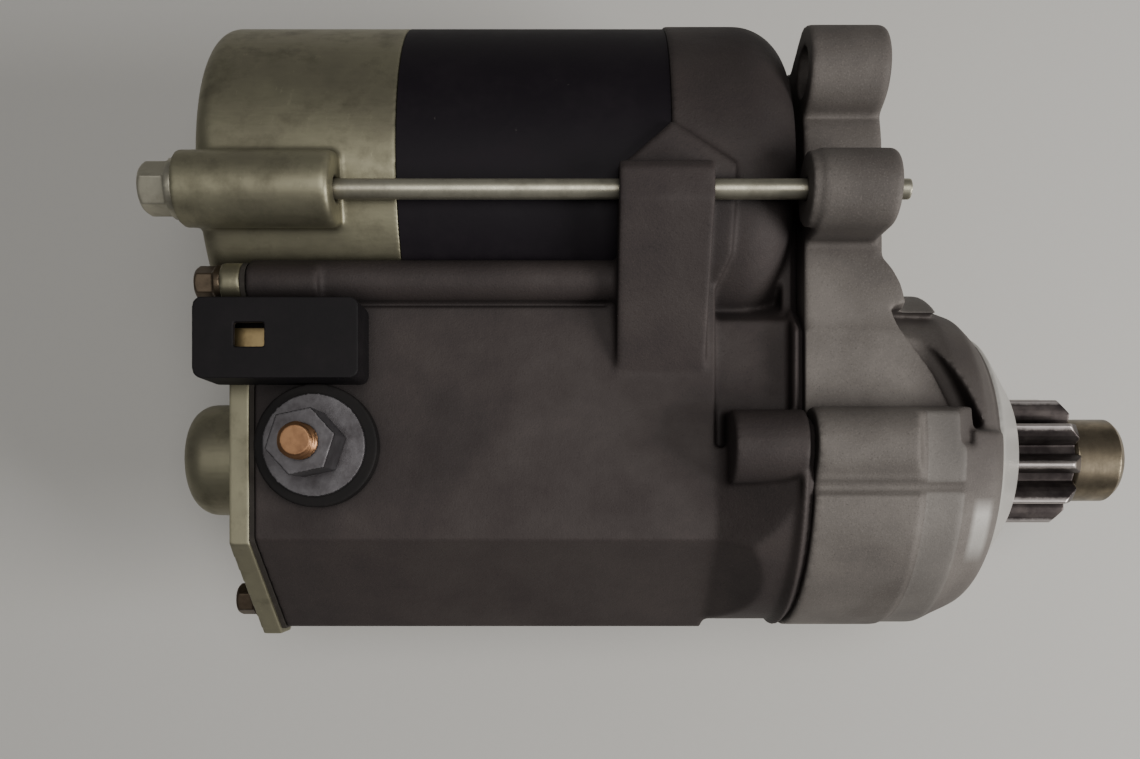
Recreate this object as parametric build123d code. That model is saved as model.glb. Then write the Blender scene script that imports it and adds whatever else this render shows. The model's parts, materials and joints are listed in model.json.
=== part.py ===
from build123d import *
from math import acos, cos, pi, radians, sin, tan
import os

# Gear-reduction starter motor. Millimetres.
# +X runs along the pinion shaft towards the flywheel, +Y from the switch side to the motor, +Z is up.
# The origin is on the pinion axis, in the mounting face of the ears.

# Main places
GEAR_MODULE = 1.5
ARMATURE_TEETH, IDLER_TEETH, CLUTCH_TEETH = 11, 21, 36
IDLER_Y = GEAR_MODULE * (IDLER_TEETH + CLUTCH_TEETH) / 2
MOTOR_Y = IDLER_Y + GEAR_MODULE * (ARMATURE_TEETH + IDLER_TEETH) / 2
JOINT_X = -18.0           # joint between the two castings
FACE_X = 0.0              # mounting face of the ears
SWITCH_X = -142.4         # rear end of the switch casting
SWITCH_END = -38.0        # front end of its flat top
FLOOR_Z = -49.5           # lowest point, on which the part lies

# Motor
YOKE_R = 39.2
YOKE_BORE = 33.5
YOKE_X = (-108.7, -49.0)  # painted length
SPIGOT_R = 37.2
SPIGOT_LENGTH = 4.5
END_X = -153.6            # rear face of the motor end cover
CORE_R = 26.0
CORE_X = (-100.0, -56.0)
COMMUTATOR_R = 16.0
COMMUTATOR_X = (-137.0, -115.0)
BRUSH_X = (-132.3, -119.7)
POLES = 4

# Through bolts, opposite each other about the motor axis
BOLT_SHANK_R = 2.2
BOLT_PLACES = ((56.0, 41.5), (2 * MOTOR_Y - 56.0, -41.5))
BOLT_BOSS_R = 8.0
FRONT_BOSS_RADII = (8.4, 8.0)

# Mounting ears (y, z)
EAR_PLACES = ((87.0, 28.0), (-30.0, FLOOR_Z + 10.0))
EAR_RADII = (9.75, 10.0)
EAR_HOLE_R = 5.25

# Drive end
PILOT_R = 41.0
PILOT_START = 5.0         # where the cast part and the arm's pad end
PILOT_END = 14.0
CASE_R = PILOT_R + 0.6    # cast part of the gear case, behind the machined pilot
CASE_TOP = 30.6           # height of its flat top, between the arm and the ridge
ARM = ((20.0, 3.0, 27.5), (68.0, 3.0, 27.0))
GEAR_X = (-16.0, -4.0)
GEAR_PRESSURE = radians(25)
GEAR_BACKLASH = 0.14
NOSE_X = 35.2
COLLAR_X = 35.6

# Pinion
PINION_TEETH = 10
PINION_MODULE = 2.54
PINION_TIP_R = 16.1
PINION_X = (35.9, 53.0)
PINION_PHASE = 61.0       # first tooth, degrees from +Y towards +Z
SHAFT_R = 8.0
SHAFT_END = 67.0
TRAVEL = 15.0

# Switch (solenoid)
COIL_BORE = 25.3
TOP_Z = 30.0
PLUNGER_R = 14.0
PLUNGER_X = (-118.0, -71.5)
CORE_FACE = PLUNGER_X[1] + TRAVEL + 0.5
TERMINAL = (-127.6, 1.5)
TERMINAL_R = 4.0          # free thread of the battery stud
STUD_R = 3.7              # stud inside the nut, washer and insulator
NUT = (TOP_Z + 5.6, 5.8)  # low face and height of a terminal nut
RIDGE = (38.8, 30.5, 4.8)
COVER_SCREWS = ((37.6, 32.6), (37.6, -32.6), (-35.0, 4.0))
COVER_BOSS_R = 4.6
COVER_X = -148.0          # rear face of the end plate
JOINT_SCREWS = ((1.0, -33.8), (-32.6, -13.0))
SPIGOT = (1.2, 35.2)      # ridge with the spigot that locates the castings
SWITCH_OUTLINE = ((-42, -4), (-42, 4), (-19.7, TOP_Z), (42, TOP_Z), (42, -TOP_Z), (-19.7, -TOP_Z))

BASE = (Align.CENTER, Align.CENTER, Align.MIN)


# Building blocks

def rod(radius, x0, x1, y=0.0, z=0.0):
    """A round bar along X."""
    return Plane.YZ.offset(x0) * Pos(y, z) * Cylinder(radius, x1 - x0, align=BASE)


def tube(inner, outer, x0, x1, y=0.0, z=0.0):
    """A tube along X."""
    return rod(outer, x0, x1, y, z) - rod(inner, x0, x1, y, z)


def post(radius, x, y, z0, z1):
    """A round bar along Z."""
    return Pos(x, y, z0) * Cylinder(radius, z1 - z0, align=BASE)


def block(x0, x1, y0, y1, z0, z1):
    """A box between two corners."""
    return Pos((x0 + x1) / 2, (y0 + y1) / 2, (z0 + z1) / 2) * Box(x1 - x0, y1 - y0, z1 - z0)


def turned(points, y=0.0, z=0.0):
    """A turned piece about an X axis, from (x, radius) points."""
    return Pos(0, y, z) * revolve(make_face(Polyline(*points, close=True)), Axis.X)


def slab(points, x0, x1):
    """A prism along X over a (y, z) outline."""
    return Plane.YZ.offset(x0) * extrude(make_face(Polyline(*points, close=True)), x1 - x0)


def wrapped(circles, x0, x1, soft=0.0):
    """A plate along X that wraps (y, z, radius) circles, with its front edge rounded by soft."""
    edges = ShapeList()
    for y, z, radius in circles:
        edges += (Pos(y, z) * Circle(radius)).edges()
    plate = extrude(make_hull(edges), x1 - x0)
    if soft:
        plate = fillet(plate.faces().sort_by(Axis.Z)[-1].edges(), soft)
    return Plane.YZ.offset(x0) * plate


def arc_block(inner, outer, middle, half, x0, x1, y=0.0):
    """A block bent about an X axis, centred at an angle from +Y towards +Z."""
    reach = 2 * outer
    fan = [(0, 0)]
    for angle in (middle - half, middle, middle + half):
        fan.append((reach * cos(radians(angle)), reach * sin(radians(angle))))
    return Pos(0, y, 0) * (tube(inner, outer, x0, x1) & slab(fan, x0, x1))


def ring_of(item, count, y=0.0, first=0.0):
    """Copies of an item spread round an X axis."""
    return [Pos(0, y, 0) * Rot(first + 360 * i / count, 0, 0) * item for i in range(count)]


def group(items):
    """Separate solids in one node."""
    solids = []
    for item in items:
        solids += item.solids()
    return Compound(solids)


def involute(angle):
    return tan(angle) - angle


def gear_outline(teeth, module, pressure, tip_r, root_r, first, backlash=0.0, shift=0.0):
    """Outline of an involute spur gear whose first tooth is centred at an angle in degrees."""
    pitch_r = module * teeth / 2
    base_r = pitch_r * cos(pressure)
    thickness = pi * module / 2 + 2 * shift * module * tan(pressure) - backlash
    start_r = max(base_r, root_r)
    steps = 5
    flank = []
    for i in range(steps):
        radius = start_r + (tip_r - start_r) * i / (steps - 1)
        lean = acos(base_r / radius)
        flank.append((radius, thickness / (2 * pitch_r) + involute(pressure) - involute(lean)))
    if root_r < base_r:
        flank.insert(0, (root_r, flank[0][1]))
    points = []
    for tooth in range(teeth):
        middle = radians(first) + 2 * pi * tooth / teeth
        for radius, half in flank:
            points.append((radius * cos(middle - half), radius * sin(middle - half)))
        for radius, half in reversed(flank):
            points.append((radius * cos(middle + half), radius * sin(middle + half)))
    return points


def reduction_gear(teeth, first, y):
    """One gear of the reduction train."""
    pitch_r = GEAR_MODULE * teeth / 2
    points = gear_outline(
        teeth, GEAR_MODULE, GEAR_PRESSURE, pitch_r + 0.8 * GEAR_MODULE,
        pitch_r - 1.25 * GEAR_MODULE, first, GEAR_BACKLASH,
    )
    return Pos(0, y, 0) * slab(points, *GEAR_X)


def coil_spring(mean, wire, length, turns):
    """A helical spring along local Z, from 0 to its length."""
    rise = length - 2 * wire
    path = Pos(0, 0, wire) * Helix(pitch=rise / turns, height=rise, radius=mean)
    return sweep(Plane(path @ 0, z_dir=path % 0) * Circle(wire), path)


def bearing(bore, outside, x0, x1, y=0.0):
    """A ball bearing: outer ring, balls and inner ring."""
    middle = (bore + outside) / 2
    ring = (outside - bore) * 0.22
    ball = (outside - bore) / 2 - ring + 0.5
    centre = (x0 + x1) / 2
    groove = Plane.YZ.offset(centre) * Pos(y, 0) * Torus(middle, ball + 0.06)
    outer = tube(outside - ring, outside, x0, x1, y) - groove
    inner = tube(bore, bore + ring, x0, x1, y) - groove
    count = int(pi * middle / (1.2 * ball))
    balls = ring_of(Pos(centre, middle, 0) * Sphere(ball), count, y)
    return outer, group(balls), inner


# Castings

def arm_pad():
    """Raised pad that blends the arm into the pilot."""
    front = PILOT_START
    profile = [(-2, 38), (-2, 53), (FACE_X, 53), (2.2, 50.9), (3.9, 48.4), (front, 45), (front, 38)]
    return turned(profile) & wrapped(ARM, -2, front)


def case_edge(shift=0.0):
    """Front edge of the case's flat top, seen from above, moved forward by shift."""
    points = ((16.8, 4.6), (14, 12), (9.5, 20), (5, 26), (1.5, 33))
    return Spline(*[(x + shift, y + shift / 4) for x, y in points]).edges()


def nose_relief():
    """Cuts for the flat top of the case, for the nose in front of it, and for the valley between."""
    side = SPIGOT[0]
    front = Polyline((1.5, 33), (PILOT_END, 33), (PILOT_END, 50), (28, 50), (28, 4.6), (16.8, 4.6))
    cone = turned([(0, 39.4), (15, 38), (21.2, 35.8), (24.2, 33), (26.4, 29.8), (26.4, 55), (0, 55)])
    cut = cone & (Pos(0, 0, -8) * extrude(make_face(case_edge() + front.edges()), 60))
    back = Polyline((1.5, 33), (1.5, 42), (JOINT_X, 42), (JOINT_X, side), (16.8, side), (16.8, 4.6))
    cut += Pos(0, 0, CASE_TOP) * extrude(make_face(case_edge() + back.edges()), 20)
    width = 3.6
    ends = Line((1.5, 33), (1.5 + width, 33 + width / 4)).edges()
    ends += Line((16.8 + width, 4.6 + width / 4), (16.8, 4.6)).edges()
    valley = make_face(case_edge() + ends + case_edge(width))
    return cut + Pos(0, 0, CASE_TOP - 2) * extrude(valley, 20)


def nose_profile():
    """Section of the gear case and nose, about the pinion axis."""
    case = Polyline((22, 0), (JOINT_X, 0), (JOINT_X, CASE_R), (PILOT_START, CASE_R), (PILOT_START, PILOT_R))
    rim = Polyline((PILOT_START, PILOT_R), (PILOT_END, PILOT_R), (17.2, 39.4), (20.8, 37.8), (22.4, 37))
    shoulder = ThreePointArc((22.4, 37), (25.2, 34.2), (26.2, 31.2))
    tip = Polyline((26.2, 31.2), (27, 31), (NOSE_X - 0.6, 20.6), (NOSE_X, 19.6), (NOSE_X, 0), (22, 0))
    return make_face(case.edges() + rim.edges() + shoulder.edges() + tip.edges())


def spigot_ridge():
    """Half-round ridge along the top of the gear case, over the spigot."""
    end = 17.5
    profile = [(JOINT_X, 0), (JOINT_X, 50), (0, 50), (PILOT_START, PILOT_R), (13, PILOT_R), (end, 37.2), (end, 0)]
    return rod(8.8, JOINT_X, end, *SPIGOT) & turned(profile)


def drive_housing():
    """Drive end casting: gear case, mounting ears, pilot register and nose."""
    body = revolve(nose_profile(), Axis.X)
    body += arm_pad()
    body -= nose_relief()
    body += spigot_ridge()
    body += wrapped(ARM, JOINT_X, FACE_X, 2)
    ear, far_ear = EAR_PLACES
    body += wrapped([(*ear, EAR_RADII[0]), (81, 12, EAR_RADII[0])], JOINT_X, FACE_X, 2)
    body += wrapped([(*far_ear, EAR_RADII[1]), (-16, -18, 14)], JOINT_X, FACE_X, 2)
    for (y, z), inward, radius in zip(BOLT_PLACES, (16, -14), FRONT_BOSS_RADII):
        body += wrapped([(y, z, radius), (y, inward, radius)], JOINT_X, FACE_X - 1.5, 1.5)
        body += rod(radius - 0.5, JOINT_X - 2.4, JOINT_X, y, z)
    body += rod(7.9, JOINT_X, FACE_X, *JOINT_SCREWS[0])
    y, z = SPIGOT
    body -= rod(1.9, JOINT_X, PILOT_END + 2, y - 9.4, z + 6.2)
    body -= rod(3, JOINT_X, JOINT_X + 6.5, y, z)
    body -= rod(29, JOINT_X, 16)
    body -= rod(18.3, JOINT_X, -3, IDLER_Y)
    body -= rod(12, JOINT_X, -3, MOTOR_Y)
    body -= rod(5, -3, -1, IDLER_Y)
    body -= rod(21, 16, 27)
    body -= rod(17, 27, NOSE_X)
    for y, z in EAR_PLACES:
        body -= rod(EAR_HOLE_R, JOINT_X, FACE_X, y, z)
    for y, z in BOLT_PLACES:
        body -= rod(BOLT_SHANK_R, JOINT_X - 3, FACE_X, y, z)
    for y, z in JOINT_SCREWS:
        body -= rod(2.6, JOINT_X, 8, y, z)
        body -= rod(4.6, 8, 24, y, z)
    return body


def switch_body():
    """Outside of the switch part of the casting, with the ridges along the motor."""
    body = slab(SWITCH_OUTLINE, SWITCH_X, SWITCH_END)
    y, z, radius = RIDGE
    for side in (-1, 1):
        body += rod(radius, SWITCH_X, YOKE_X[1], y, side * z)
        body += rod(COVER_BOSS_R, SWITCH_X, SWITCH_X + 16, COVER_SCREWS[0][0], side * COVER_SCREWS[0][1])
    body -= block(-124, -62, 33.0, 34.2, TOP_Z - 0.9, TOP_Z + 3)
    front = make_face(Polyline(*SWITCH_OUTLINE, close=True))
    swell = Plane.YZ.offset(SWITCH_END) * extrude(front, JOINT_X - SWITCH_END, taper=-27)
    body += swell & rod(40.2, SWITCH_END, JOINT_X) & block(SWITCH_END, JOINT_X, -42, SPIGOT[0], -41, 41)
    body += rod(40.2, -44, JOINT_X) & block(-44, JOINT_X, 0, 41, -26, 26)
    flange = rod(CASE_R, -20.8, JOINT_X)
    return body + (flange - block(-20.8, JOINT_X, SPIGOT[0], 42, CASE_TOP, 42))


def motor_bell():
    """Front bell of the motor, with the wall that holds the armature bearing."""
    bell_r = YOKE_R + 0.5
    back = YOKE_X[1]
    front = JOINT_X - 1.5
    corner = 13.0
    sweep_back = corner * (1 - sin(pi / 4))
    straight = Polyline((front, 0), (back, 0), (back, bell_r), (front - corner, bell_r))
    turn = ThreePointArc(
        (front - corner, bell_r), (front - sweep_back, bell_r - sweep_back), (front, bell_r - corner)
    )
    close = Line((front, bell_r - corner), (front, 0))
    bell = Pos(0, MOTOR_Y, 0) * revolve(make_face(straight.edges() + turn.edges() + close.edges()), Axis.X)
    bell += wrapped([(20, 0, 16), (MOTOR_Y, 0, 16)], -44, -22)
    bell += wrapped([(20, 0, 24), (68, 0, 24)], -22, JOINT_X)
    return bell


def bolt_gussets():
    """Webs that carry the through bolts past the front of the yoke."""
    x0, x1 = -60.6, -40.4
    outline = ((62, 30), (61, 45.5), (59, 47), (52.5, 47), (33.5, 37.5), (17, TOP_Z - 0.5), (17, 20))
    upper = slab(outline, x0, x1)
    skirt = tube(YOKE_R, 41.4, x0, YOKE_X[1] + 14, MOTOR_Y)
    plan = make_face(Polyline((-35, 62), (-49, 71), (x0, 61), (x0, 32), (x1, 32), (-35, 44), close=True))
    upper += skirt & extrude(Pos(0, 0, 15) * plan, 35)
    y, z = BOLT_PLACES[1]
    lower = wrapped([(y, z, 6), (y - 5, z + 14, 9)], x0, x1)
    return (upper + lower) - rod(YOKE_R + 0.3, -63, YOKE_X[1], MOTOR_Y)


def joint_groove():
    """Groove round the joint, so that the two castings part in a shadow line."""
    x0 = JOINT_X - 1.5
    outside = rod(70, x0, JOINT_X, 20)
    inside = rod(CASE_R - 1.3, x0, JOINT_X) - block(x0, JOINT_X, SPIGOT[0], 42, CASE_TOP - 1.6, 42)
    inside += wrapped([(20, 0, 22.7), (68, 0, 22.7)], x0, JOINT_X)
    for y, z in (SPIGOT, JOINT_SCREWS[0]):
        inside += rod(6.2, x0, JOINT_X, y, z)
    return outside - inside


def switch_housing():
    """Casting for the switch, with the front bell of the motor."""
    body = switch_body()
    for y, z in (SPIGOT, JOINT_SCREWS[0]):
        body += wrapped([(y, z, 8.1), (y, z * 0.6, 8.1)], -35.6, JOINT_X)
    body += rod(6, -34, JOINT_X, *JOINT_SCREWS[1])
    body -= rod(YOKE_R + 0.4, SWITCH_X - 1, YOKE_X[1], MOTOR_Y)
    body += motor_bell()
    body += bolt_gussets()
    # Motor end: yoke seat, winding room and armature bearing
    body -= rod(SPIGOT_R, YOKE_X[1] - 0.01, YOKE_X[1] + SPIGOT_LENGTH, MOTOR_Y)
    body -= rod(33.2, YOKE_X[1] - 0.01, -34, MOTOR_Y)
    body -= rod(8, -34, JOINT_X, MOTOR_Y)
    body -= rod(13, -30, -22, MOTOR_Y)
    body -= rod(10.5, -22, JOINT_X, MOTOR_Y)
    # Switch end: coil bore, shaft tail, clutch bearing and idler pin
    body -= rod(COIL_BORE, SWITCH_X, -44)
    body -= block(-118, -62, -38, -29, -9, 9)
    body -= rod(9.2, -44, -27)
    body -= rod(18, -27, JOINT_X)
    body -= rod(5, -22, JOINT_X, IDLER_Y)
    for y, z in BOLT_PLACES:
        body -= rod(BOLT_SHANK_R + 0.3, -63, JOINT_X, y, z)
    for y, z in JOINT_SCREWS:
        body -= rod(2.5, -32, JOINT_X, y, z)
    for y, z in COVER_SCREWS:
        body -= rod(2, SWITCH_X, SWITCH_X + 12, y, z)
    body -= post(6.5, *TERMINAL, 15, TOP_Z)
    body -= post(6.5, *TERMINAL, -TOP_Z, -15)
    body -= joint_groove()
    return body + rod(2.96, JOINT_X, JOINT_X + 6, *SPIGOT)


# Switch

def cover_blank(x0, x1, grow):
    """Plate with the outline of the switch casting's rear end."""
    outline = (
        (-42 - grow, -4), (-42 - grow, 4), (-19.7 - 0.6 * grow, TOP_Z), (42, TOP_Z),
        (42, -TOP_Z), (-19.7 - 0.6 * grow, -TOP_Z),
    )
    plate = slab(outline, x0, x1)
    for y, z in COVER_SCREWS[:2]:
        plate += rod(COVER_BOSS_R, x0, x1, y, z)
    return plate - rod(YOKE_R + 0.6, x0, x1, MOTOR_Y)


def switch_end_cover():
    """Plated end plate with the cap over the plunger tail."""
    plate = cover_blank(COVER_X, SWITCH_X - 1, 1.8)
    side = Polyline((COVER_X, 0), (COVER_X, 15.6), (COVER_X - 1.6, 14.2), (-160.6, 14))
    crown = ThreePointArc((-160.6, 14), (-164.6, 12), (-166, 7.4))
    end = Polyline((-166, 7.4), (-166, 0), (COVER_X, 0))
    plate += revolve(make_face(side.edges() + crown.edges() + end.edges()), Axis.X)
    plate -= rod(11.2, -162, SWITCH_X - 1)
    for y, z in COVER_SCREWS:
        plate -= rod(2.3, COVER_X - 1, SWITCH_X - 1, y, z)
    return plate


def switch_cover_gasket():
    """Flat gasket under the end plate."""
    gasket = cover_blank(SWITCH_X - 1, SWITCH_X, 0.4) - rod(COIL_BORE, SWITCH_X - 1, SWITCH_X)
    for y, z in COVER_SCREWS:
        gasket -= rod(2.3, SWITCH_X - 1, SWITCH_X, y, z)
    return gasket


def cross_screw(radius, head_r, head_x, head, length):
    """A pan-head cross-recess screw along X with its head towards -X."""
    screw = rod(radius, head_x + head, head_x + head + length)
    cap = rod(head_r, head_x, head_x + head)
    cap = fillet(cap.faces().sort_by(Axis.X)[0].edges(), head * 0.35)
    for turn in (0, 90):
        cap -= Rot(turn, 0, 0) * block(head_x, head_x + head * 0.55, -head_r * 0.6, head_r * 0.6, -0.5, 0.5)
    return screw + cap


def switch_cover_screws():
    """Three hexagon-flange screws that hold the end plate."""
    end = COVER_X - 6
    screw = rod(2, COVER_X, SWITCH_X + 10) + rod(4.2, COVER_X - 1.5, COVER_X)
    head = Plane.YZ.offset(end) * extrude(RegularPolygon(3.5, 6, major_radius=False, rotation=8), 4.6)
    screw += head & turned([(end, 0), (end, 3.2), (end + 0.8, 4.1), (end + 5, 4.1), (end + 5, 0)])
    return group(Pos(0, y, z) * screw for y, z in COVER_SCREWS)


def solenoid_bobbin():
    """Bobbin for the switch coil."""
    bobbin = tube(15, 16.4, -112, -49.2)
    bobbin += tube(15, 25.1, -112, -110)
    return bobbin + tube(15, 25.1, -51.4, -49.2)


def solenoid_core():
    """Fixed core that the plunger is pulled against."""
    core = rod(PLUNGER_R + 0.08, CORE_FACE, -49) + rod(25.2, -49, -44)
    return core - rod(4.3, CORE_FACE, -44)


def plunger():
    """Plunger with the tail that carries the contact plate."""
    body = rod(PLUNGER_R, *PLUNGER_X) + rod(3.5, -140, PLUNGER_X[0])
    return body - rod(3.9, -100, PLUNGER_X[1])


def terminal_stud(side, nuts, tip, thread_r):
    """Copper stud with its fixed contact inside the casting."""
    x, y = TERMINAL
    nut_top = NUT[0] + nuts * NUT[1]
    stud = post(STUD_R, x, y, 24.1, nut_top) + post(thread_r, x, y, nut_top, tip - 0.8)
    stud += Pos(x, y, tip - 0.8) * Cone(thread_r, thread_r - 0.9, 0.8, align=BASE)
    stud += block(-133, -113.2, y - 6, y + 6, 20.5, 24.1)
    stud += block(-115.4, -113.2, y - 6, y + 6, 15.5, 20.5)
    return stud if side > 0 else mirror(stud, Plane.XY)


def on_both_sides(item):
    """A piece on the top terminal and the same piece on the bottom one."""
    return group([item, mirror(item, Plane.XY)])


def terminal_insulators():
    """Insulating collars where the terminals leave the casting."""
    x, y = TERMINAL
    collar = post(13.75, x, y, TOP_Z, TOP_Z + 4) + post(6.4, x, y, 25.3, TOP_Z)
    return on_both_sides(collar - post(STUD_R, x, y, 25, TOP_Z + 4))


def terminal_washers():
    """Washers under the terminal nuts."""
    x, y = TERMINAL
    return on_both_sides(post(11.4, x, y, TOP_Z + 4, TOP_Z + 5.6) - post(STUD_R, x, y, TOP_Z, TOP_Z + 6))


def terminal_nuts():
    """Hexagon nuts, 13 mm across flats: two on the battery stud and one on the motor stud."""
    x, y = TERMINAL
    low, height = NUT
    hexagon = RegularPolygon(13 / 2, 6, major_radius=False, rotation=12)
    crown = Cone(14.6, 5.9, 8.7, align=BASE) & Pos(0, 0, height - 8.7) * Cone(5.9, 14.6, 8.7, align=BASE)
    nut = Pos(x, y, low) * ((extrude(hexagon, height) & crown) - post(STUD_R, 0, 0, 0, height))
    return group([nut, Pos(0, 0, height) * nut, mirror(nut, Plane.XY)])


def spade_terminal():
    """Flat blade in the plug socket."""
    blade = block(-149, -124, 21.0, 27.3, 34.6, 35.4)
    return chamfer(blade.edges().filter_by(Axis.Z).group_by(Axis.X)[0], 1.4)


def connector_body():
    """Plug socket on top of the switch, open towards -X, with a window above the blade."""
    body = block(-152, -116.4, 15.4, 32.9, TOP_Z, 42)
    body = fillet(body.edges().filter_by(Axis.Z), 2.0)
    body -= block(-152, -135, 17.4, 31.2, 31.8, 40.4)
    body -= block(-143.2, -136.6, 22.2, 27.4, 40.4, 42)
    return body - block(-149, -124, 21.0, 27.3, 34.6, 35.4)


# Motor

def yoke():
    """Steel yoke tube with a spigot at each end."""
    body = tube(YOKE_BORE, YOKE_R, *YOKE_X, MOTOR_Y)
    body += tube(YOKE_BORE, SPIGOT_R - 0.02, YOKE_X[0] - SPIGOT_LENGTH, YOKE_X[0], MOTOR_Y)
    body += tube(YOKE_BORE, SPIGOT_R - 0.02, YOKE_X[1], YOKE_X[1] + SPIGOT_LENGTH, MOTOR_Y)
    return body - tube(34.8, YOKE_R, YOKE_X[1] + 1.4, YOKE_X[1] + 3.0, MOTOR_Y)


def yoke_o_ring():
    """Sealing ring in the yoke's front spigot."""
    return Plane.YZ.offset(YOKE_X[1] + 2.2) * Pos(MOTOR_Y, 0) * Torus(35.55, 0.74)


def pole_shoe(angle):
    """One pole shoe, with the flange that holds its coil."""
    stem = arc_block(28.2, YOKE_BORE, angle, 19, *CORE_X, MOTOR_Y)
    return stem + arc_block(26.6, 28.2, angle, 36, *CORE_X, MOTOR_Y)


def field_coil(angle):
    """One field coil, wound round its pole shoe."""
    outer = arc_block(28.5, 33.2, angle, 40, -106, -50.5, MOTOR_Y)
    return outer - arc_block(28.0, 33.8, angle, 20.5, -100.6, -55.4, MOTOR_Y)


def motor_end_cover():
    """Plated rear cover with the two bolt tubes and the rear bearing seat."""
    corner = 4.5
    cut = corner * (1 - sin(pi / 4))
    wall = Polyline((END_X, 0), (YOKE_X[0], 0), (YOKE_X[0], YOKE_R), (END_X + corner, YOKE_R))
    turn = ThreePointArc((END_X + corner, YOKE_R), (END_X + cut, YOKE_R - cut), (END_X, YOKE_R - corner))
    back = Line((END_X, YOKE_R - corner), (END_X, 0))
    cover = Pos(0, MOTOR_Y, 0) * revolve(make_face(wall.edges() + turn.edges() + back.edges()), Axis.X)
    for y, z in BOLT_PLACES:
        lean = (MOTOR_Y - y) * 0.15
        cover += wrapped([(y, z, BOLT_BOSS_R), (y + lean, z * 0.86, BOLT_BOSS_R)], -154.2, -121.2, 1.4)
    cover -= rod(35.8, END_X + 3.4, YOKE_X[0], MOTOR_Y)
    cover -= rod(SPIGOT_R, YOKE_X[0] - SPIGOT_LENGTH - 0.3, YOKE_X[0], MOTOR_Y)
    cover += tube(11, 13.8, END_X + 3.4, -142.5, MOTOR_Y)
    for y, z in BOLT_PLACES:
        cover -= rod(BOLT_SHANK_R + 0.3, -155, -121, y, z)
    return cover


def through_bolt():
    """Long hexagon-flange bolt that clamps the motor to the drive housing."""
    bolt = rod(BOLT_SHANK_R, -154.2, 2) + rod(6.4, -156.0, -154.2)
    head = Plane.YZ.offset(-162.2) * extrude(RegularPolygon(5, 6, major_radius=False, rotation=20), 6.4)
    return bolt + (head & turned([(-162.2, 0), (-162.2, 4.7), (-161, 6.2), (-155.8, 6.2), (-155.8, 0)]))


def brush_parts():
    """Brush plate with four boxes, and the brushes and springs inside them."""
    box = block(-134, -118, 18, 33.5, -6.5, 6.5) - block(-132.5, -119.5, 17.5, 32.5, -5, 5)
    holder = tube(17.6, 35.3, -118, -116.5)
    for item in ring_of(box, POLES, first=45):
        holder += item
    brush = block(*BRUSH_X, 15, 26.5, -4.8, 4.8) - rod(COMMUTATOR_R + 0.05, -135, -118)
    spring = Pos(sum(BRUSH_X) / 2, 26.5, 0) * Rot(-90, 0, 0) * coil_spring(3.4, 0.6, 6.0, 4)
    brushes = group(ring_of(brush, POLES, MOTOR_Y, 45))
    springs = group(ring_of(spring, POLES, MOTOR_Y, 45))
    return Pos(0, MOTOR_Y, 0) * holder, brushes, springs


def armature_shaft():
    """Armature shaft with its 11-tooth pinion cut on the end."""
    shaft = rod(5, -150, -142, MOTOR_Y) + rod(6, -142, GEAR_X[0], MOTOR_Y)
    return shaft + reduction_gear(ARMATURE_TEETH, 180, MOTOR_Y)


def armature_iron():
    """Slotted armature core and the windings that fill the slots."""
    slots = 19
    core = tube(6, CORE_R, *CORE_X)
    winding = turned([(-113, 8), (-113, 15), (-109, 23.8), (-100, 24.6), (-100, 8)])
    winding += turned([(-56, 8), (-56, 24.6), (-49, 23.4), (-46.5, 18), (-46.5, 8)])
    slot = block(CORE_X[0], CORE_X[1], 14, CORE_R + 1, -1.6, 1.6)
    bar = block(CORE_X[0], CORE_X[1], 14, CORE_R - 1.4, -1.6, 1.6)
    for cut in ring_of(slot, slots):
        core -= cut
    for fill in ring_of(bar, slots):
        winding += fill
    place = Pos(0, MOTOR_Y, 0)
    return place * core, place * winding


def commutator():
    """Copper commutator with its segments parted by slots."""
    body = tube(6, COMMUTATOR_R, *COMMUTATOR_X) + tube(10, 17.2, COMMUTATOR_X[1] - 2, COMMUTATOR_X[1])
    for cut in ring_of(block(*COMMUTATOR_X, COMMUTATOR_R - 1.4, 18, -0.35, 0.35), 19):
        body -= cut
    return Pos(0, MOTOR_Y, 0) * body


# Reduction gears, clutch and pinion

def idler_gear():
    """Idler gear that runs on rollers."""
    first = 180 / IDLER_TEETH
    return reduction_gear(IDLER_TEETH, first, IDLER_Y) - rod(9, *GEAR_X, IDLER_Y)


def idler_rollers():
    """Rollers between the idler gear and its pin."""
    return group(ring_of(rod(1.94, GEAR_X[0] + 0.5, GEAR_X[1] - 0.5, 7), 9, IDLER_Y))


def clutch_pocket():
    """One wedge-shaped roller pocket, along X."""
    middle = Rot(13, 0, 0) * rod(2.3, -9, 14, 16.4)
    return rod(2.5, -9, 14, 15.5) + middle + Rot(24, 0, 0) * rod(1.9, -9, 14, 16.6)


def clutch_drum():
    """Clutch drum, one piece with the 36-tooth gear."""
    drum = reduction_gear(CLUTCH_TEETH, 180 / CLUTCH_TEETH, 0) + rod(24, GEAR_X[1], 14)
    drum -= rod(13.06, GEAR_X[0], -9)
    drum -= rod(14.2, -9, 14)
    for pocket in ring_of(clutch_pocket(), 6):
        drum -= pocket
    return drum


def clutch_roller_springs():
    """Small springs that hold the rollers in the wedge."""
    spring = Rot(11.5, 0, 0) * Pos(2.5, 16.1, -0.2) * coil_spring(0.9, 0.25, 3.4, 4)
    return group(ring_of(spring, 6))


def spline_keys(x0, x1, root, tip, width):
    """Eight straight keys along X."""
    return ring_of(block(x0, x1, root - 1, tip, -width / 2, width / 2), 8)


def clutch_inner():
    """Clutch hub: roller track outside, spline and spring room inside."""
    hub = rod(11, -27, -17) + rod(13, -17, 29)
    hub -= rod(8.85, -27, -14)
    hub -= rod(7.1, -14, -2)
    for key in spline_keys(-14, -2, 7.1, 8.7, 2.76):
        hub -= key
    hub -= rod(10.5, -2, 27)
    return hub - rod(SHAFT_R + 0.08, 27, 29)


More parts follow.
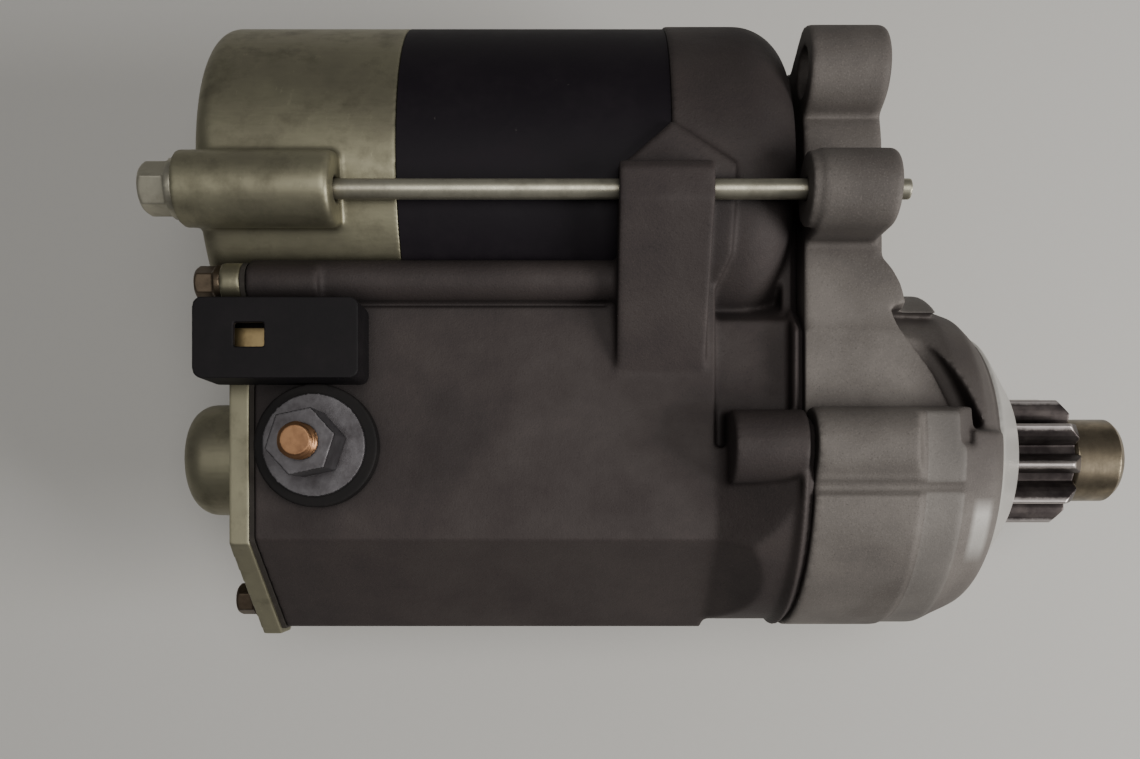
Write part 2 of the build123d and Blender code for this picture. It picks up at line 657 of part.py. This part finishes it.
def pinion_shaft():
    """Splined pinion shaft, hollow at the tail for the ball."""
    shaft = rod(6, -40, -29) + rod(7, -29, -2) + rod(9.8, -2, 0) + rod(SHAFT_R, 0, SHAFT_END - 1)
    shaft += turned([(SHAFT_END - 1, 0), (SHAFT_END - 1, SHAFT_R), (SHAFT_END, SHAFT_R - 1), (SHAFT_END, 0)])
    for key in spline_keys(-29, -2, 7.0, 8.6, 2.6):
        shaft += key
    return shaft - rod(4.1, -40, -29.9) - rod(1.6, SHAFT_END - 4, SHAFT_END)


def pinion():
    """Ten-tooth pinion with lead-in chamfers on the flywheel side."""
    pitch_r = PINION_MODULE * PINION_TEETH / 2
    points = gear_outline(
        PINION_TEETH, PINION_MODULE, radians(20), PINION_TIP_R, pitch_r - 2.2, PINION_PHASE, 0.2, 0.38
    )
    x0, x1 = PINION_X
    limit = turned([(x0, 0), (x0, 15.6), (x0 + 0.6, 16.3), (x1 - 3.2, 16.3), (x1, 13.4), (x1, 0)])
    return (slab(points, x0, x1) & limit) - rod(SHAFT_R, x0, x1)


def pinion_stop_collar():
    """Stop collar on the shaft end."""
    x0 = PINION_X[1]
    x1 = SHAFT_END - 1.2
    body = turned([(x0, SHAFT_R), (x0, 9.6), (x0 + 1, 10.4), (x1 - 1.4, 10.4), (x1, 9.2), (x1, SHAFT_R)])
    return body


def nose_collar():
    """Bright ring pressed in the nose round the shaft."""
    bore = SHAFT_R + 0.08
    return turned([
        (27.3, 14.9), (27.3, 17), (COLLAR_X - 1.2, 17), (COLLAR_X, 15.8), (COLLAR_X, bore), (33.4, bore),
        (33.4, 11), (29.6, 11), (29.6, 14.9),
    ])


def nose_seal():
    """Rubber seal round the shaft, behind the collar's lip."""
    return tube(SHAFT_R + 0.06, 11, 29.8, 33.3)


def housing_screws():
    """Screws that join the castings, from the drive end."""
    screw = mirror(cross_screw(2.5, 4.2, -12.2, 4, 39.5), Plane.YZ)
    return group(Pos(0, y, z) * screw for y, z in JOINT_SCREWS)


def build():
    """Every node of the starter motor."""
    holder, brushes, brush_springs = brush_parts()
    core, windings = armature_iron()
    pole_angles = [90 * i for i in range(POLES)]
    spring_place = Plane.YZ * coil_spring(9.4, 0.8, 27, 6.5)
    nodes = {
        "drive_housing": drive_housing(),
        "switch_housing": switch_housing(),
        "switch_end_cover": switch_end_cover(),
        "switch_cover_gasket": switch_cover_gasket(),
        "switch_cover_screws": switch_cover_screws(),
        "housing_screws": housing_screws(),
        "yoke": yoke(),
        "yoke_o_ring": yoke_o_ring(),
        "pole_shoes": group(pole_shoe(angle) for angle in pole_angles),
        "field_coils": group(field_coil(angle) for angle in pole_angles),
        "motor_end_cover": motor_end_cover(),
        "through_bolts": group(Pos(0, y, z) * through_bolt() for y, z in BOLT_PLACES),
        "brush_holder": holder,
        "brushes": brushes,
        "brush_springs": brush_springs,
        "armature_shaft": armature_shaft(),
        "armature_core": core,
        "armature_windings": windings,
        "commutator": commutator(),
        "idler_gear": idler_gear(),
        "idler_pin": rod(5, -22, -1, IDLER_Y),
        "idler_rollers": idler_rollers(),
        "clutch_drum": clutch_drum(),
        "clutch_rollers": group(ring_of(rod(2.4, -8.6, 13.6, 15.5), 6)),
        "clutch_roller_springs": clutch_roller_springs(),
        "clutch_cover": tube(13.2, 23.4, 14, 15.6),
        "clutch_inner": clutch_inner(),
        "pinion_shaft": pinion_shaft(),
        "pinion": pinion(),
        "pinion_stop_collar": pinion_stop_collar(),
        "return_spring": spring_place,
        "nose_collar": nose_collar(),
        "nose_seal": nose_seal(),
        "solenoid_bobbin": solenoid_bobbin(),
        "solenoid_coil": tube(16.4, 24.6, -110, -51.4),
        "plunger_guide_tube": tube(PLUNGER_R + 0.08, 15, -113, -49),
        "solenoid_core": solenoid_core(),
        "plunger": plunger(),
        "plunger_rod": rod(3.9, -100, -38),
        "steel_ball": Pos(-34, 0, 0) * Sphere(4),
        "contact_plate": tube(3.5, 19, -133, -130.5),
        "terminal_b_stud": terminal_stud(1, 2, 51, TERMINAL_R),
        "terminal_c_stud": terminal_stud(-1, 1, 45, STUD_R),
        "terminal_insulators": terminal_insulators(),
        "terminal_washers": terminal_washers(),
        "terminal_nuts": terminal_nuts(),
        "connector_body": connector_body(),
        "spade_terminal": spade_terminal(),
    }
    bearings = {
        "armature_front_bearing": bearing(6, 13, -30, -22, MOTOR_Y),
        "armature_rear_bearing": bearing(5, 11, -150, -143, MOTOR_Y),
        "clutch_front_bearing": bearing(13, 21, 19, 27),
        "clutch_rear_bearing": bearing(11, 18, -27, -19),
    }
    for name, pieces in bearings.items():
        for kind, piece in zip(("outer", "balls", "inner"), pieces):
            nodes[f"{name}_{kind}"] = piece
    return nodes


def main():
    os.makedirs("parts", exist_ok=True)
    for name, shape in build().items():
        export_step(shape, f"parts/{name}.step")


main()
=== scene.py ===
import json
from math import atan2, hypot, pi, radians

import bmesh
import bpy
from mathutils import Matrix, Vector

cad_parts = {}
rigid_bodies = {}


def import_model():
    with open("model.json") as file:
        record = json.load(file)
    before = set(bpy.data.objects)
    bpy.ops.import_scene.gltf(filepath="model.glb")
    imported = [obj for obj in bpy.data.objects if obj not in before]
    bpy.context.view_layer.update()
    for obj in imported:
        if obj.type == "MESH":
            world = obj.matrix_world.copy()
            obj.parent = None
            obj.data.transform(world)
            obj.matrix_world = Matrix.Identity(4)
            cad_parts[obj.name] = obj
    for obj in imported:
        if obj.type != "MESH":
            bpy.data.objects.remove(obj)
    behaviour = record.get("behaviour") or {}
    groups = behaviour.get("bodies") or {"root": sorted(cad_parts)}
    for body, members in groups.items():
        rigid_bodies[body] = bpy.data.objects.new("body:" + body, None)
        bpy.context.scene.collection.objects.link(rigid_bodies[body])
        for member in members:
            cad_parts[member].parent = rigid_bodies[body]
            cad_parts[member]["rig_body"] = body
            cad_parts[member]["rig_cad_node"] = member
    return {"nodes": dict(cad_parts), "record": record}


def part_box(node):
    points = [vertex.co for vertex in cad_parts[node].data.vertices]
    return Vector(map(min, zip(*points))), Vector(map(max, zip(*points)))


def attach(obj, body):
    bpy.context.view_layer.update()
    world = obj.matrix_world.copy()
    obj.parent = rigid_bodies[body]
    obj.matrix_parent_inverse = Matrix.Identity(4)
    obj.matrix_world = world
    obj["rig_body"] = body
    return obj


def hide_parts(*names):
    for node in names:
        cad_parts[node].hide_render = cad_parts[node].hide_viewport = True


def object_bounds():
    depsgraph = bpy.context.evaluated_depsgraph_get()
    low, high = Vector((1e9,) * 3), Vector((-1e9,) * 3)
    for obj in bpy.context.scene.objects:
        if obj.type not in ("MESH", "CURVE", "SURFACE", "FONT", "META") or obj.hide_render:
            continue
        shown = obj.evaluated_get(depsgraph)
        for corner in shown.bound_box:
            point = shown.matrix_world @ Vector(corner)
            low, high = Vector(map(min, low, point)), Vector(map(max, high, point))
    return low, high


# A gear-reduction starter motor lying on its side. Metres, in the frame of the CAD model:
# +X along the pinion shaft, +Y from the switch to the motor, +Z up.

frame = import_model()
cad_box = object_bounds()
MM = 0.001

# Driving places, all from the frame
MOUNTS = {m["name"]: m for m in frame["record"]["mounts"]}
STUD = Vector(MOUNTS["battery_stud"]["pos_m"])
PILOT_R = MOUNTS["pilot"]["dims"]["r_mm"] * MM
NOSE_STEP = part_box("nose_collar")[0].x - 1.4 * MM
FLOOR_Z = cad_box[0][2]


# ---- Node helpers ----

def link(tree, source, target):
    tree.links.new(source, target)


def add(tree, kind, **values):
    """A node with its settings and socket values; a socket key is its name with _ for a space."""
    node = tree.nodes.new(kind)
    for key, value in values.items():
        if hasattr(node, key):
            setattr(node, key, value)
        else:
            node.inputs[key.replace("_", " ")].default_value = value
    return node


def place(tree, stretch=(1, 1, 1), turn=(0, 0, 0)):
    """Object coordinates, stretched; the object's own metres when stretch is 1."""
    coords = tree.nodes.new("ShaderNodeTexCoord")
    mapping = tree.nodes.new("ShaderNodeMapping")
    mapping.inputs["Scale"].default_value = stretch
    mapping.inputs["Rotation"].default_value = turn
    link(tree, coords.outputs["Object"], mapping.inputs["Vector"])
    return mapping.outputs["Vector"]


def noise(tree, scale, detail=4.0, rough=0.55, stretch=(1, 1, 1)):
    node = add(tree, "ShaderNodeTexNoise", Scale=scale, Detail=detail, Roughness=rough)
    link(tree, place(tree, stretch), node.inputs["Vector"])
    return node.outputs["Fac"]


def ramp(tree, value, low, high, invert=False):
    """Value between low and high, stretched to 0..1."""
    node = add(tree, "ShaderNodeMapRange", clamp=True)
    node.inputs["From Min"].default_value = low
    node.inputs["From Max"].default_value = high
    node.inputs["To Min"].default_value = 1.0 if invert else 0.0
    node.inputs["To Max"].default_value = 0.0 if invert else 1.0
    link(tree, value, node.inputs["Value"])
    return node.outputs["Result"]


def scaled(tree, value, low, high):
    """Value 0..1 moved to low..high."""
    node = add(tree, "ShaderNodeMapRange", clamp=True)
    node.inputs["To Min"].default_value = low
    node.inputs["To Max"].default_value = high
    link(tree, value, node.inputs["Value"])
    return node.outputs["Result"]


def math(tree, operation, a, b=None):
    node = add(tree, "ShaderNodeMath", operation=operation)
    for socket, value in zip(node.inputs, (a, b)):
        if value is None:
            continue
        if isinstance(value, (int, float)):
            socket.default_value = value
        else:
            link(tree, value, socket)
    return node.outputs[0]


def mixed(tree, factor, first, second, blend="MIX"):
    """Colours mixed by a factor; each is a colour or a socket."""
    node = add(tree, "ShaderNodeMix", data_type="RGBA", blend_type=blend)
    sockets = (node.inputs[0], node.inputs[6], node.inputs[7])
    for socket, value in zip(sockets, (factor, first, second)):
        if isinstance(value, (int, float)):
            socket.default_value = value
        elif isinstance(value, tuple):
            socket.default_value = (*value, 1.0)
        else:
            link(tree, value, socket)
    return node.outputs[2]


def bumped(tree, layers):
    """A chain of bumps from (height socket, strength, distance in metres)."""
    normal = None
    for height, strength, distance in layers:
        node = add(tree, "ShaderNodeBump", Strength=strength, Distance=distance)
        link(tree, height, node.inputs["Height"])
        if normal is not None:
            link(tree, normal, node.inputs["Normal"])
        normal = node.outputs["Normal"]
    return normal


def corner_shade(tree, distance):
    """Ambient occlusion for painted shade in corners: 1 in the open, 0 deep in a corner."""
    node = add(tree, "ShaderNodeAmbientOcclusion", samples=6, Distance=distance)
    return node.outputs["AO"]


def position(tree):
    """The X, Y and Z of the object's own metres, and the distance from the pinion axis."""
    coords = tree.nodes.new("ShaderNodeTexCoord")
    parts = tree.nodes.new("ShaderNodeSeparateXYZ")
    link(tree, coords.outputs["Object"], parts.inputs[0])
    x, y, z = parts.outputs
    squares = math(tree, "ADD", math(tree, "POWER", y, 2.0), math(tree, "POWER", z, 2.0))
    return x, y, z, math(tree, "SQRT", squares)


def new_material(name, metallic, roughness, **sockets):
    """A Principled material; returns it with its tree and shader."""
    made = bpy.data.materials.new(name)
    made.use_nodes = True
    tree = made.node_tree
    shader = tree.nodes["Principled BSDF"]
    shader.inputs["Metallic"].default_value = metallic
    shader.inputs["Roughness"].default_value = roughness
    for key, value in sockets.items():
        shader.inputs[key.replace("_", " ")].default_value = value
    return made, tree, shader


# ---- Materials ----

def cast_aluminium(name, light, dark, grime_and_shade, masks=None):
    """Sand-cast aluminium with skin, stains and dirt, painted shade in the corners and, by masks, turned bright parts,
    a painted highlight and painted shade that is partly oil.
    """
    made, tree, shader = new_material(name, 0.35, 0.7)
    patches = noise(tree, 55, 5, 0.62)
    clouds = noise(tree, 14, 3, 0.5)
    skin = noise(tree, 900, 3, 0.6)
    grit = noise(tree, 2600, 2, 0.6)
    color = mixed(tree, ramp(tree, patches, 0.35, 0.68), light, dark)
    color = mixed(tree, scaled(tree, ramp(tree, clouds, 0.42, 0.66), 0.0, 0.45), color, grime_and_shade)
    sparkle = tuple(1.6 * c for c in light)
    color = mixed(tree, scaled(tree, ramp(tree, grit, 0.56, 0.7), 0.0, 0.2), color, sparkle)
    color = mixed(tree, scaled(tree, ramp(tree, grit, 0.28, 0.4, True), 0.0, 0.4), color, grime_and_shade)
    # Painted shade: the dirt colour laid into the corners by ambient occlusion.
    color = mixed(tree, scaled(tree, ramp(tree, corner_shade(tree, 0.008), 0.35, 0.9, True), 0.0, 0.75), color, grime_and_shade)
    rough = scaled(tree, patches, 0.55, 0.85)
    if masks:
        bright, shade_and_grease = masks(tree)
        # Painted shade, partly oil, darkens the +Y side of the nose; turned metal and a painted highlight brighten it.
        color = mixed(tree, math(tree, "MULTIPLY", shade_and_grease, scaled(tree, clouds, 0.35, 1.0)), color, grime_and_shade)
        color = mixed(tree, bright, color, (0.45, 0.44, 0.41))
        rough = math(tree, "SUBTRACT", rough, math(tree, "MULTIPLY", bright, 0.3))
    link(tree, color, shader.inputs["Base Color"])
    link(tree, rough, shader.inputs["Roughness"])
    normal = bumped(tree, [(patches, 0.25, 0.0006), (skin, 0.3, 0.0002), (grit, 0.35, 0.00012)])
    link(tree, normal, shader.inputs["Normal"])
    return made


def window(tree, value, low, high, soft):
    """1 where the value lies between low and high."""
    return math(tree, "MULTIPLY", ramp(tree, value, low, low + soft), ramp(tree, value, high - soft, high, True))


def nose_masks(tree):
    """Masks of the gear case: where it is turned bright, where a highlight is painted on the cone, and where its +Y
    side is darkened by painted shade that is partly oil.
    """
    x, y, _, r = position(tree)
    tip = scaled(tree, ramp(tree, x, NOSE_STEP, NOSE_STEP + 0.3 * MM), 0.0, 0.85)
    pilot = scaled(tree, ramp(tree, r, PILOT_R - 0.4 * MM, PILOT_R - 0.2 * MM), 0.0, 0.12)
    pilot = math(tree, "MULTIPLY", pilot, window(tree, x, 6 * MM, 15 * MM, 0.3 * MM))
    # Painted highlight: a bright, glossier patch on the -Y side of the cone, facing the side lamp.
    pad_glint = scaled(tree, window(tree, y, -25 * MM, -10 * MM, 4 * MM), 0.0, 0.6)
    pad_glint = math(tree, "MULTIPLY", pad_glint, window(tree, x, 17 * MM, 23 * MM, 1.5 * MM))
    # Painted shade, partly oil: darker towards the +Y side of the nose, away from the side lamp.
    shade_and_grease = math(tree, "MULTIPLY", ramp(tree, x, 5 * MM, 16 * MM), ramp(tree, y, -14 * MM, 4 * MM))
    return math(tree, "MAXIMUM", tip, math(tree, "MAXIMUM", pilot, pad_glint)), shade_and_grease


def zinc_plate(name, base, tint, grime_and_shade, roughness, drawn=(1, 1, 1)):
    """Zinc plate with an olive passivate: cloudy colour, drawn lines, scuffs, dirt and painted shade in the corners.
    """
    made, tree, shader = new_material(name, 0.85, roughness)
    clouds = noise(tree, 45, 4, 0.6)
    tone = noise(tree, 130, 5, 0.65)
    lines = noise(tree, 1400, 2, 0.5, drawn)
    scuffs = noise(tree, 600, 6, 0.75, (1, 0.25, 1))
    color = mixed(tree, ramp(tree, clouds, 0.35, 0.7), base, tint)
    color = mixed(tree, scaled(tree, ramp(tree, tone, 0.5, 0.75), 0.0, 0.5), color, grime_and_shade)
    scratch = tuple(1.5 * c for c in base)
    color = mixed(tree, scaled(tree, ramp(tree, scuffs, 0.62, 0.72), 0.0, 0.4), color, scratch)
    # Painted shade: corners darkened by ambient occlusion.
    color = mixed(tree, scaled(tree, ramp(tree, corner_shade(tree, 0.005), 0.3, 0.9, True), 0.0, 0.8), color, grime_and_shade)
    link(tree, color, shader.inputs["Base Color"])
    rough = math(tree, "ADD", scaled(tree, tone, roughness - 0.1, roughness + 0.14), scaled(tree, lines, -0.05, 0.05))
    link(tree, rough, shader.inputs["Roughness"])
    link(tree, bumped(tree, [(lines, 0.12, 0.00008), (tone, 0.1, 0.0004)]), shader.inputs["Normal"])
    return made


def black_paint():
    """Satin black paint with dust, orange peel and small chips."""
    made, tree, shader = new_material("yoke_paint", 0.0, 0.65, Specular_IOR_Level=0.22)
    peel = noise(tree, 500, 2, 0.5)
    dust = noise(tree, 90, 6, 0.7)
    chips = noise(tree, 420, 5, 0.8)
    powder = scaled(tree, ramp(tree, dust, 0.45, 0.8), 0.0, 0.5)
    color = mixed(tree, powder, (0.0055, 0.0035, 0.006), (0.016, 0.012, 0.015))
    color = mixed(tree, ramp(tree, chips, 0.7, 0.72), color, (0.05, 0.045, 0.043))
    link(tree, color, shader.inputs["Base Color"])
    link(tree, scaled(tree, dust, 0.52, 0.78), shader.inputs["Roughness"])
    link(tree, bumped(tree, [(peel, 0.15, 0.00015), (chips, 0.05, 0.0001)]), shader.inputs["Normal"])
    return made


def steel(name, base, dark, roughness, lines=(1, 1, 1), line_scale=1500, metallic=0.95, **sockets):
    """Worked steel: tool lines, stains, handling marks and painted shade in the corners."""
    made, tree, shader = new_material(name, metallic, roughness, **sockets)
    stain = noise(tree, 160, 5, 0.65)
    tool = noise(tree, line_scale, 2, 0.5, lines)
    marks = noise(tree, 700, 6, 0.75)
    color = mixed(tree, ramp(tree, stain, 0.4, 0.72), base, dark)
    color = mixed(tree, scaled(tree, ramp(tree, marks, 0.6, 0.7), 0.0, 0.5), color, dark)
    # Painted shade: corners darkened by ambient occlusion.
    color = mixed(tree, scaled(tree, ramp(tree, corner_shade(tree, 0.003), 0.3, 0.9, True), 0.0, 0.7), color, dark)
    link(tree, color, shader.inputs["Base Color"])
    rough = math(tree, "ADD", scaled(tree, stain, roughness - 0.08, roughness + 0.12), scaled(tree, tool, -0.04, 0.04))
    link(tree, rough, shader.inputs["Roughness"])
    link(tree, bumped(tree, [(tool, 0.15, 0.00008), (marks, 0.08, 0.00008)]), shader.inputs["Normal"])
    return made


def pinion_steel():
    """Dark case-hardened teeth whose lands are bright: partly rubbed metal, partly a painted highlight."""
    made, tree, shader = new_material("pinion_teeth", 0.85, 0.42)
    radius = position(tree)[3]
    wear_and_glint = noise(tree, 900, 5, 0.7)
    oil = noise(tree, 220, 4, 0.6)
    color = mixed(tree, ramp(tree, oil, 0.35, 0.7), (0.035, 0.028, 0.028), (0.08, 0.068, 0.064))
    # Bright tooth lands: partly rubbed metal, partly a painted highlight.
    edge = math(tree, "ADD", radius, scaled(tree, wear_and_glint, -0.4 * MM, 0.4 * MM))
    land = ramp(tree, edge, 15.2 * MM, 15.8 * MM)
    color = mixed(tree, math(tree, "MULTIPLY", land, 0.85), color, (0.5, 0.46, 0.44))
    link(tree, color, shader.inputs["Base Color"])
    link(tree, scaled(tree, oil, 0.3, 0.5), shader.inputs["Roughness"])
    link(tree, bumped(tree, [(noise(tree, 1800, 2, 0.5, (0.1, 1, 1)), 0.15, 0.00006)]), shader.inputs["Normal"])
    return made


def moulded_plastic(name, base, dust, roughness):
    """Glass-filled moulded plastic with a fine sparked texture and dust."""
    made, tree, shader = new_material(name, 0.0, roughness, Specular_IOR_Level=0.25)
    spark = noise(tree, 3200, 2, 0.6)
    film = noise(tree, 120, 5, 0.7)
    color = mixed(tree, scaled(tree, ramp(tree, film, 0.45, 0.78), 0.0, 0.6), base, dust)
    color = mixed(tree, scaled(tree, ramp(tree, spark, 0.62, 0.72), 0.0, 0.25), color, dust)
    link(tree, color, shader.inputs["Base Color"])
    link(tree, scaled(tree, film, roughness - 0.12, roughness + 0.1), shader.inputs["Roughness"])
    link(tree, bumped(tree, [(spark, 0.2, 0.00006)]), shader.inputs["Normal"])
    return made


def paper():
    """Pale floor with a faint tooth."""
    made, tree, shader = new_material("floor_paper", 0.0, 0.85)
    tooth = noise(tree, 400, 5, 0.6)
    color = mixed(tree, scaled(tree, tooth, 0.3, 0.7), (0.52, 0.51, 0.48), (0.56, 0.55, 0.52))
    link(tree, color, shader.inputs["Base Color"])
    link(tree, bumped(tree, [(tooth, 0.08, 0.0003)]), shader.inputs["Normal"])
    return made


MATERIALS = {
    "cast_aluminium_light": cast_aluminium(
        "cast_light", (0.175, 0.157, 0.141), (0.128, 0.114, 0.103), (0.036, 0.028, 0.026), nose_masks
    ),
    "cast_aluminium_dark": cast_aluminium(
        "cast_dark", (0.052, 0.041, 0.038), (0.038, 0.029, 0.028), (0.012, 0.009, 0.0092)
    ),
    "zinc_plate": zinc_plate("zinc", (0.3, 0.285, 0.195), (0.22, 0.205, 0.145), (0.06, 0.054, 0.036), 0.47, (0.2, 1, 1)),
    "black_paint": black_paint(),
    "pinion_steel": pinion_steel(),
    "bright_steel": steel("turned_ring", (0.72, 0.7, 0.66), (0.42, 0.4, 0.36), 0.24, (1, 0.1, 0.1), 2500),
    "collar_steel": steel("collar", (0.24, 0.2, 0.14), (0.1, 0.085, 0.06), 0.32, (1, 0.1, 0.1), 2500),
    "nut_steel": steel("nut_plate", (0.105, 0.1, 0.105), (0.045, 0.04, 0.042), 0.4, metallic=0.85),
    "screw_steel": steel("screw_brown", (0.13, 0.1, 0.07), (0.05, 0.036, 0.026), 0.45),
    "inner_steel": steel("ground_steel", (0.5, 0.49, 0.47), (0.25, 0.24, 0.22), 0.3),
    "iron": steel("soft_iron", (0.16, 0.15, 0.14), (0.08, 0.07, 0.065), 0.55, metallic=0.8),
    "copper": steel("copper", (0.3, 0.165, 0.085), (0.14, 0.07, 0.04), 0.4, line_scale=900),
    "winding_wire": steel("enamel_wire", (0.42, 0.16, 0.05), (0.2, 0.07, 0.03), 0.3, (1, 0.1, 0.1), 900),
    "brass": steel("brass", (0.4, 0.3, 0.15), (0.2, 0.15, 0.08), 0.36),
    "phenolic": moulded_plastic("insulator", (0.005, 0.004, 0.004), (0.016, 0.013, 0.012), 0.7),
    "black_plastic": moulded_plastic("socket_plastic", (0.004, 0.003, 0.0038), (0.014, 0.011, 0.0125), 0.65),
    "rubber": moulded_plastic("rubber", (0.015, 0.014, 0.014), (0.05, 0.045, 0.042), 0.75),
    "gasket_fibre": moulded_plastic("gasket", (0.03, 0.026, 0.022), (0.08, 0.07, 0.06), 0.85),
    "carbon": moulded_plastic("carbon", (0.02, 0.02, 0.02), (0.05, 0.05, 0.05), 0.6),
}
BOLT_PLATE = zinc_plate("bolt_zinc", (0.46, 0.44, 0.35), (0.34, 0.32, 0.25), (0.09, 0.08, 0.06), 0.4, (1, 0.2, 0.2))


def dress(obj, slot, look=None):
    """Gives an object the material of its slot, or its own look."""
    obj.data.materials.clear()
    obj.data.materials.append(look or MATERIALS[slot])


def smooth_by_angle(obj, angle=35):
    """Smooth shading with sharp edges past an angle."""
    mesh = obj.data
    for polygon in mesh.polygons:
        polygon.use_smooth = True
    mesh.set_sharp_from_angle(angle=radians(angle))


SLOTS = {part["node"]: part["material_slot"] for part in frame["record"]["subparts"]}
for node, slot in SLOTS.items():
    dress(frame["nodes"][node], slot)


# ---- Skins: pieces with the soft edges, fillets and threads that the plain solids leave out ----

def apply_modifier(obj, kind, **settings):
    """Adds a modifier, applies it and leaves the result in the mesh."""
    modifier = obj.modifiers.new(kind, kind)
    for key, value in settings.items():
        setattr(modifier, key, value)
    depsgraph = bpy.context.evaluated_depsgraph_get()
    made = bpy.data.meshes.new_from_object(obj.evaluated_get(depsgraph))
    obj.modifiers.clear()
    obj.data = made


def skin(node, voxel, rounds, keep, reshape=None, look=None):
    """Remeshes a node finely and relaxes it, so that its edges and corners are soft as made."""
    source = frame["nodes"][node]
    piece = bpy.data.objects.new(node + "_skin", source.data.copy())
    bpy.context.scene.collection.objects.link(piece)
    apply_modifier(piece, "WELD", merge_threshold=0.00001)
    apply_modifier(piece, "REMESH", mode="VOXEL", voxel_size=voxel)
    if reshape:
        reshape(piece.data)
    apply_modifier(piece, "SMOOTH", factor=0.5, iterations=rounds)
    apply_modifier(piece, "DECIMATE", ratio=keep)
    smooth_by_angle(piece, 60)
    dress(piece, SLOTS[node], look)
    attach(piece, source["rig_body"])
    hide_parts(node)


def thread_depth(turns, pitch):
    """Depth of a thread's groove at a distance of so many turns along it."""
    return 0.6 * pitch * abs(2 * (turns % 1.0) - 1)


def stud_thread(mesh):
    """Cuts the thread of the battery stud above its nut."""
    pitch = 1.25 * MM
    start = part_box("terminal_nuts")[1].z
    for vertex in mesh.vertices:
        side, across = vertex.co.x - STUD.x, vertex.co.y - STUD.y
        radius = hypot(side, across)
        if vertex.co.z < start or radius < 3.3 * MM:
            continue
        turns = vertex.co.z / pitch - atan2(across, side) / (2 * pi)
        shrink = 1 - thread_depth(turns, pitch) / radius
        vertex.co.x = STUD.x + side * shrink
        vertex.co.y = STUD.y + across * shrink


for name, voxel, rounds, keep in (
    ("drive_housing", 0.6, 6, 0.35), ("switch_housing", 0.6, 6, 0.35), ("motor_end_cover", 0.5, 4, 0.35),
    ("switch_end_cover", 0.4, 3, 0.35), ("connector_body", 0.25, 4, 0.3),
    ("terminal_nuts", 0.2, 3, 0.4), ("terminal_washers", 0.2, 2, 0.3), ("terminal_insulators", 0.3, 4, 0.3),
    ("pinion", 0.2, 2, 0.4), ("pinion_stop_collar", 0.2, 3, 0.4), ("nose_collar", 0.2, 3, 0.4),
    ("spade_terminal", 0.15, 2, 0.3), ("switch_cover_screws", 0.2, 2, 0.4), ("housing_screws", 0.2, 2, 0.4),
):
    skin(name, voxel * MM, rounds, keep)
skin("terminal_b_stud", 0.2 * MM, 1, 0.4, stud_thread)
skin("through_bolts", 0.3 * MM, 2, 0.4, look=BOLT_PLATE)


# ---- Floor, light and camera ----

def floor():
    mesh = bpy.data.meshes.new("floor")
    bm = bmesh.new()
    bmesh.ops.create_grid(bm, x_segments=1, y_segments=1, size=3.0)
    bm.to_mesh(mesh)
    bm.free()
    ground = bpy.data.objects.new("floor", mesh)
    ground.location.z = FLOOR_Z
    bpy.context.scene.collection.objects.link(ground)
    ground.data.materials.append(paper())


def area_light(name, size, energy, location, target, color=(1, 1, 1)):
    data = bpy.data.lights.new(name, "AREA")
    data.shape = "DISK"
    data.size = size
    data.energy = energy
    data.color = color
    lamp = bpy.data.objects.new(name, data)
    lamp.location = location
    lamp.rotation_euler = (Vector(target) - Vector(location)).to_track_quat("-Z", "Y").to_euler()
    bpy.context.scene.collection.objects.link(lamp)


def light():
    middle = (-0.05, 0.02, 0)
    area_light("key", 0.6, 4.8, (0.02, 0.02, 1.0), middle, (1.0, 0.98, 0.95))
    area_light("side", 0.5, 8.5, (0.74, -0.22, 0.45), (0.05, 0.02, 0), (1.0, 0.98, 0.96))
    world = bpy.data.worlds.new("studio")
    world.use_nodes = True
    background = world.node_tree.nodes["Background"]
    background.inputs["Color"].default_value = (0.93, 0.93, 0.96, 1)
    background.inputs["Strength"].default_value = 0.14
    bpy.context.scene.world = world


def camera():
    data = bpy.data.cameras.new("camera")
    data.lens = 32.0
    data.sensor_width = 36.0
    data.shift_y = 0.119
    eye = bpy.data.objects.new("camera", data)
    eye.location = (-0.071, -0.014, 0.259)
    bpy.context.scene.collection.objects.link(eye)
    bpy.context.scene.camera = eye


floor()
light()
camera()
